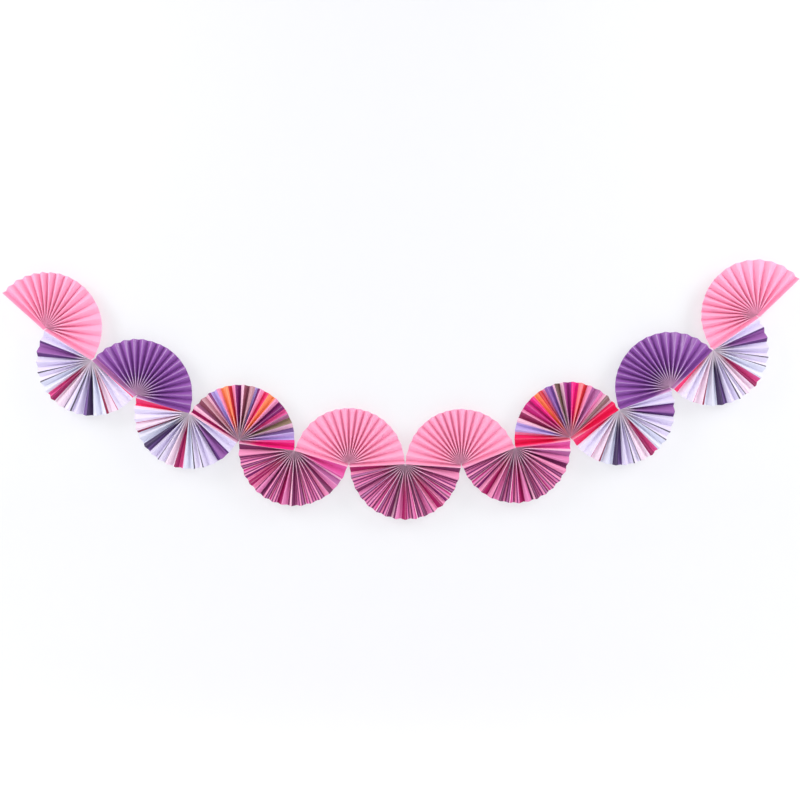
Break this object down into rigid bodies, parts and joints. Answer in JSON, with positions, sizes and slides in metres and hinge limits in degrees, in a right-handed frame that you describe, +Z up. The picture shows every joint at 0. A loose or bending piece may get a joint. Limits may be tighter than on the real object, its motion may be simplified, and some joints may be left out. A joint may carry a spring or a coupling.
{
  "type": "paper fan garland",
  "caption": "Hanging garland of pleated half-round paper fans, glued end to end so that they open upward and downward in turn along a drooping chain, in plain and striped papers.",
  "frame": {"origin": "middle of the outer face of the left end flap, where the garland is fastened", "axes": "+X along the garland to the right, +Y through it from front to back, +Z up as it hangs"},
  "size_m": [1.4571, 0.0122, 0.4754],
  "materials": {
    "pink_paper": "smooth plain pink paper, pale along the folds",
    "purple_paper": "smooth plain purple paper, pale along the folds",
    "white_stripe_paper": "white and lilac paper with purple, crimson and plum stripes along the pleats",
    "multi_stripe_paper": "paper striped along the pleats in crimson, pink, orange, brown, lilac and plum",
    "magenta_stripe_paper": "paper with fine pink, magenta and dark plum stripes along the pleats"
  },
  "bodies": {
    "root": {"fan_01_pink": "pink_paper", "fan_02_white_stripe": "white_stripe_paper", "fan_03_purple": "purple_paper", "fan_04_white_stripe": "white_stripe_paper", "fan_05_multi_stripe": "multi_stripe_paper", "fan_06_magenta_stripe": "magenta_stripe_paper", "fan_07_pink": "pink_paper", "fan_08_magenta_stripe": "magenta_stripe_paper", "fan_09_pink": "pink_paper", "fan_10_magenta_stripe": "magenta_stripe_paper", "fan_11_multi_stripe": "multi_stripe_paper", "fan_12_white_stripe": "white_stripe_paper", "fan_13_purple": "purple_paper", "fan_14_white_stripe": "white_stripe_paper", "fan_15_pink": "pink_paper"}
  },
  "joints": []
}
